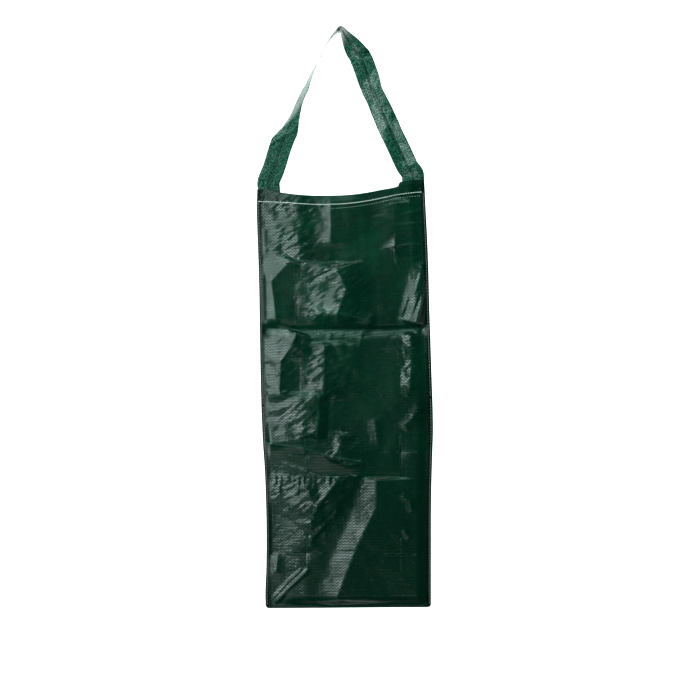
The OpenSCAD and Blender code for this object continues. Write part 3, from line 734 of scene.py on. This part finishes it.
# Turn of the strap about its middle line, by length along it: 0 faces the front, 90 lies on the hook
STRAP_TURN = [(0, 0), (107, 0), (111, 38), (119, 49), (131, 60), (170, 70), (193, 76), (216, 82), (250, 87),
    (266, 91), (278, 104), (290, 122), (300, 138), (308, 149), (313, 153), (320, 180), (328, 185), (345, 182),
    (372, 180), (560, 180)]
# How far the right leg's left half and right half lean to the left, by height, in degrees
LEAN_LEFT = table([(-208, 0), (-200, 14), (-190, 14), (-183, 3), (-140, 2), (-131, 14), (-122, 15), (-72, 14),
    (-64, 0)])
LEAN_RIGHT = table([(-208, 0), (-200, 16), (-190, 18), (-180, 15), (-142, 14), (-131, 4), (-122, 13),
    (-68, 14), (-60, 0)])
# Dents of the right leg: height, place across, half length, half width, and how much less they lean
STRAP_DENTS = [(-74, 0.26, 8, 0.1, 20), (-113, 0.2, 7, 0.06, 18), (-124, 0.36, 8, 0.08, 22),
    (-96, -0.3, 8, 0.1, -8)]
# Waves across the right leg: height, how far they stand out, half width
STRAP_WAVES = [(-36.6, -0.9, 5), (-77, 0.5, 4), (-115, 0.6, 5), (-134.4, 1.3, 6), (-160, -0.5, 5),
    (-188.5, 2.0, 5.5)]
# The same for folds of the left leg, by length along the strap
STRAP_FOLDS = [(110, 1.3, 2.4), (103, -0.7, 3.0)]
RIGHT_LEG = 290  # length along the strap from which it comes down on the right
TURNED = 330  # and from which it shows its back
STRAP_POINTS = 25  # grid points across the strap


def smooth_line(points, step):
    """Catmull-Rom curve through points, at even steps."""
    p = np.array(points, float)
    p = np.concatenate([[2 * p[0] - p[1]], p, [2 * p[-1] - p[-2]]])
    out = []
    for a, b, c, d in zip(p, p[1:], p[2:], p[3:]):
        for s in np.linspace(0, 1, 24, endpoint=False):
            bow, twist = 2 * a - 5 * b + 4 * c - d, 3 * b - a - 3 * c + d
            out.append(0.5 * (2 * b + (c - a) * s + bow * s * s + twist * s**3))
    out = np.array([*out, p[-2]])
    run = np.concatenate([[0], np.cumsum(np.linalg.norm(np.diff(out, axis=0), axis=1))])
    at = np.linspace(0, run[-1], int(run[-1] / step) + 1)
    return np.stack([np.interp(at, run, out[:, k]) for k in range(out.shape[1])], -1), at


def make_strap():
    """The strap as one closed band, swept and turned along its line, and its length."""
    line, at = smooth_line(STRAP_LINE, 1.6)
    total = at[-1]
    slope = np.gradient(line, axis=0)
    slope = slope / np.linalg.norm(slope, axis=1, keepdims=True)
    v = np.linspace(-0.5, 0.5, STRAP_POINTS)
    turn = table(STRAP_TURN)
    # The left edge turns lower down than the right one, so the strap folds on a slant
    slant = 40 * soft((at - 62) / 40) * soft((205 - at) / 60)
    angle = np.clip(turn(at[:, None] - slant[:, None] * v[None, :]), 0, 180)
    height = line[:, 1][:, None]
    left_half = soft((0.1 - v) / 0.2)[None, :]
    lean = LEAN_LEFT(height) * left_half + LEAN_RIGHT(height) * (1 - left_half)
    for z, dent_v, long, half, less in STRAP_DENTS:
        skew = (height - z) / long
        lean = lean - less * np.exp(-skew**2 - ((v[None, :] - dent_v - 0.1 * skew) / half) ** 2)
    angle = np.radians(angle - lean * soft((at[:, None] - TURNED) / 20))
    side = np.stack([slope[:, 1], 0 * at, -slope[:, 0]], -1)[:, None, :]
    wide = np.cos(angle)[..., None] * side + np.sin(angle)[..., None] * np.array([0, -1.0, 0])
    steps = 0.5 * (wide[:, 1:] + wide[:, :-1]) * STRAP_W / (STRAP_POINTS - 1)
    across = np.concatenate([np.zeros((len(at), 1, 3)), np.cumsum(steps, axis=1)], axis=1)
    across = across - across[:, STRAP_POINTS // 2, None]
    along = np.stack([slope[:, 0], 0 * at, slope[:, 1]], -1)[:, None, :]
    thick = np.cross(np.broadcast_to(along, wide.shape), wide)
    thick = thick / np.linalg.norm(thick, axis=-1, keepdims=True)
    middle = np.stack([line[:, 0], 0 * at, line[:, 1]], -1)[:, None, :] + across
    s, vv = np.meshgrid(at, v, indexing="ij")
    loose = soft((np.minimum(s, total - s) - 28) / 14)
    wave = 0.7 * noise(s, 20 * vv, 30, 71) + 0.3 * noise(s, 34 * vv, 11, 72)
    wave = wave + 0.16 * noise(s, 31 * vv, 4.5, 73)
    leg = at > RIGHT_LEG
    for z, h, width in STRAP_WAVES:
        here = np.interp(-z, -line[leg][:, 1], at[leg])
        wave = wave + h * np.exp(-(((s - here - 8 * vv) / width) ** 2))
    for start, h, width in STRAP_FOLDS:
        wave = wave + h * np.exp(-(((s - start - 40 * vv) / width) ** 2))
    # A groove along the right leg, where the laps meet, and the step of a lap on the other face
    groove = 0.45 * soft((s - TURNED) / 40) * np.exp(-(((vv - 0.04) / 0.02) ** 2))
    middle = middle + (loose * (wave - groove))[..., None] * thick
    lap = 0.4 * soft((0.05 - vv) * 30) * loose
    edge = STRAP_T * np.clip(0.25 + 0.75 * soft((0.5 - np.abs(vv)) * 12), 0, 1)
    front = middle - 0.5 * edge[..., None] * thick
    back = middle + (0.5 * edge + lap)[..., None] * thick
    ring = np.concatenate([front, back[:, ::-1]], axis=1)
    n = ring.shape[1]
    ring_v = np.concatenate([v, v[::-1] + UNDERSIDE]) * STRAP_W
    uv = np.stack(np.broadcast_arrays(ring_v[None, :], at[:, None]), -1)
    edges = np.exp(-((0.5 - np.abs(vv)) * 30))
    worn = np.concatenate([0.5 * edges, 0.5 * edges], axis=1)
    faces = [(i * n + k, (i + 1) * n + k, (i + 1) * n + (k + 1) % n, i * n + (k + 1) % n)
        for i in range(len(at) - 1) for k in range(n)]
    last = (len(at) - 1) * n
    for k in range(STRAP_POINTS - 1):
        faces.append((k, k + 1, n - 2 - k, n - 1 - k))
        faces.append((last + k, last + n - 1 - k, last + n - 2 - k, last + k + 1))
    ob = build("strap_band", ring.reshape(-1, 3), faces, uv.reshape(-1, 2), STRAP, None, worn.ravel())
    return ob, total


strap, strap_length = make_strap()
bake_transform(strap)
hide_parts("strap", "strap_end_left", "strap_end_right")


# ---- stitches ----
def on_sheet(grid, us, ws, added, u, w):
    """Points and normals of the sheet at cloth coordinates."""
    j = np.clip(np.searchsorted(us, u) - 1, 0, len(us) - 2)
    i = np.clip(np.searchsorted(ws, w) - 1, 0, len(ws) - 2)
    s, t = ((u - us[j]) / (us[j + 1] - us[j]))[:, None], ((w - ws[i]) / (ws[i + 1] - ws[i]))[:, None]
    i = i + added
    return [(g[i, j] * (1 - s) + g[i, j + 1] * s) * (1 - t)
        + (g[i + 1, j] * (1 - s) + g[i + 1, j + 1] * s) * t for g in (grid[0], grid[4])]


YARN_SIDES = 6
# A stitch: place along it, thickness there, and how far it stands off the sheet
STITCH = ((0, 0.35, -0.15), (0.12, 0.85, 0.08), (0.5, 1.0, 0.2), (0.88, 0.85, 0.08), (1, 0.35, -0.15))


def stitches(name, grid, us, ws, added, start, end, pitch, length, width, material, seed):
    """A row of stitches from one (u, w) to another, each a slim yarn that dips in at both ends."""
    start, end = np.array(start, float), np.array(end, float)
    rng = np.random.default_rng(seed)
    count = int(np.linalg.norm(end - start) / pitch)
    way = (end - start) / np.linalg.norm(end - start)
    verts, faces, uv = [], [], []
    for k in range(count):
        first = start + way * (k * pitch + rng.uniform(-0.12, 0.12))
        drift = rng.uniform(-0.14, 0.14) * np.array([way[1], -way[0]])
        spots = np.array([first + way * length * t + drift * t for t, _, _ in STITCH])
        points, normals = on_sheet(grid, us, ws, added, spots[:, 0], spots[:, 1])
        normals = normals / np.linalg.norm(normals, axis=1, keepdims=True)
        run = np.gradient(points, axis=0)
        run = run / np.linalg.norm(run, axis=1, keepdims=True)
        beside = np.cross(run, normals)
        base = len(verts)
        for (t, size, lift), p, n, b in zip(STITCH, points, normals, beside):
            for m in range(YARN_SIDES):
                angle = 2 * math.pi * m / YARN_SIDES
                out, over = 0.35 * width * size * math.sin(angle), 0.5 * width * size * math.cos(angle)
                verts.append(p + n * (lift + out) + b * over)
                uv.append((TAPE[0] * m / YARN_SIDES, TAPE[1] * (k + t)))
        for q in range(base, base + (len(STITCH) - 1) * YARN_SIDES, YARN_SIDES):
            for m in range(YARN_SIDES):
                a, b = q + m, q + (m + 1) % YARN_SIDES
                faces.append((a, b, b + YARN_SIDES, a + YARN_SIDES))
        faces.append(tuple(base + m for m in range(YARN_SIDES))[::-1])
        faces.append(tuple(base + (len(STITCH) - 1) * YARN_SIDES + m for m in range(YARN_SIDES)))
    return build(name, verts, faces, uv, material)


FRONT = (front_grid, U, W, hem_rows)
BACK = (back_grid, U_BACK, W_BACK, back_hem)
HEM_ROW = ((2.5, 12.6), (BAG_U - 2.5, 12.6))  # ends of the hem's stitches
hem_front = stitches("hem_stitches_front", *FRONT, *HEM_ROW, 3.3, 2.8, 1.0, THREAD, 201)
hem_back = stitches("hem_stitches_back", *BACK, *HEM_ROW, 3.3, 2.7, 0.8, THREAD, 202)
hem_dots = stitches("hem_dots_front", *FRONT, (104, 19.4), (231, 18.6), 3.3, 0.9, 0.6, THREAD, 203)
for ob in (hem_front, hem_back, hem_dots):
    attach(ob, "bag_upper")
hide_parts("hem_thread")

half_w = float(W[SPLIT_ROW])
SEAM_U = 3.4  # how far a seam's stitches lie from the edge
seam_rows = [(side, u, *row) for side, u in (("left", SEAM_U), ("right", BAG_U - SEAM_U))
    for row in (("front", FRONT), ("back", BACK))]
for k, (side, u, face, where) in enumerate(seam_rows):
    for part, low, high, thirds in (("top", 14.5, half_w, ["upper"]),
            ("bottom", half_w + 0.6, BAG_W - 4, ["middle", "lower"])):
        ob = stitches(f"seam_stitches_{side}_{face}_{part}", *where, (u, low), (u, high), 4.0, 3.1, 0.7,
            DARK_THREAD, 210 + 11 * k + (part == "bottom"))
        bend_at_crease(ob)
        if face == "front":
            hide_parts(*[f"thread_{side}_{third}" for third in thirds])


# ---- the sheets' transforms baked, and the model's sheet parts hidden ----
for ob, part in ((front_top, "top"), (back_top, "top"), (front_bottom, "bottom"), (back_bottom, "bottom")):
    bend_at_crease(ob)
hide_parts("front_upper", "hem_front", "seam_left_upper", "seam_right_upper")
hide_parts("front_middle", "front_lower", "bottom_fold", "seam_left_middle", "seam_right_middle",
    "seam_left_lower", "seam_right_lower")
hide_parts("back_upper", "hem_back")
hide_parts("back_middle", "back_lower")


# ---- stage, light and camera, in metres ----
MIDDLE_Z = -0.42  # height of the middle of the bag


def area_light(name, at, target_z, wide, high, radiance, colour=(1, 1, 1), target_y=0):
    """A soft box of a given radiance, turned to a point on the middle line."""
    data = bpy.data.lights.new(name, "AREA")
    data.shape, data.size, data.size_y = "RECTANGLE", wide, high
    data.energy, data.color = radiance * math.pi * wide * high, colour
    ob = add_object(name, data)
    ob.location = at
    ob.rotation_euler = (Vector((0, target_y, target_z)) - Vector(at)).to_track_quat("-Z", "Y").to_euler()


def around(azimuth, elevation, distance):
    """A place seen from the middle of the bag; azimuth 0 is the front, and above 0 to the left."""
    a, e = math.radians(azimuth), math.radians(elevation)
    ahead = -distance * math.cos(e)
    return (ahead * math.sin(a), ahead * math.cos(a), MIDDLE_Z + distance * math.sin(e))


area_light("left_box", around(36, 12, 3.2), MIDDLE_Z, 2.08, 2.6, 9.0, (0.82, 1, 0.98))
area_light("right_box", around(-84, 12, 3.2), MIDDLE_Z, 1.4, 3.0, 0.9, (0.8, 1, 0.95))
area_light("top_box", around(8, 44, 2.6), MIDDLE_Z, 2.2, 1.2, 4.4, (0.55, 1, 0.85))
area_light("low_left_box", around(76, -22, 2.6), -0.3, 2.2, 1.0, 6.5, (0.85, 1, 0.98))
area_light("low_front_box", around(15, -29, 3.4), -0.6, 2.3, 1.1, 1.4, (0.88, 1, 0.98))
area_light("kicker", around(38, 40, 2.6), -0.3, 0.3, 0.3, 40.0, (0.78, 1, 0.93))
area_light("wall_light", (0, 0.1, 1.9), -0.5, 3.0, 0.6, 9.0, target_y=1.35)

wall, wall_tree, wall_shader = new_material("pale_backdrop")
fill(wall_tree, wall_shader, {"Base Color": (0.92, 0.92, 0.92), "Roughness": 0.9, "Specular IOR Level": 0.1,
    "Emission Color": (1, 1, 1), "Emission Strength": 0.35})
# The backdrop in profile (Y, Z): a floor behind the bag that curves up into a wall
FLOOR_Z, FLOOR_BACK, CURVE_R = -1.25, 0.9, 0.6
curve = [(FLOOR_BACK + CURVE_R * math.sin(a), FLOOR_Z + CURVE_R - CURVE_R * math.cos(a))
    for a in np.linspace(0.15, math.pi / 2, 10)]
profile = [(-0.05, FLOOR_Z), (FLOOR_BACK, FLOOR_Z), *curve, (FLOOR_BACK + CURVE_R, 2.5)]
sweep = bpy.data.meshes.new("backdrop")
sweep.from_pydata([(x, y, z) for y, z in profile for x in (-3.5, 3.5)], [],
    [(2 * k, 2 * k + 1, 2 * k + 3, 2 * k + 2) for k in range(len(profile) - 1)])
sweep.polygons.foreach_set("use_smooth", [True] * len(sweep.polygons))
sweep.materials.append(wall)
backdrop = add_object("backdrop", sweep)

world = bpy.data.worlds.new("dim_room")
world.use_nodes = True
fill(world.node_tree, world.node_tree.nodes["Background"], {"Color": (0.9, 0.95, 1.0), "Strength": 0.015})
scene.world = world
scene.view_settings.view_transform = "Standard"

# The photograph's view: straight at the bag
lens = bpy.data.cameras.new("camera")
lens.lens, lens.sensor_width = 85, 36
camera = add_object("camera", lens)
camera.location = (0.0125, -2.2925, -0.4444)
camera.rotation_euler = (math.pi / 2, 0, 0)
scene.camera = camera
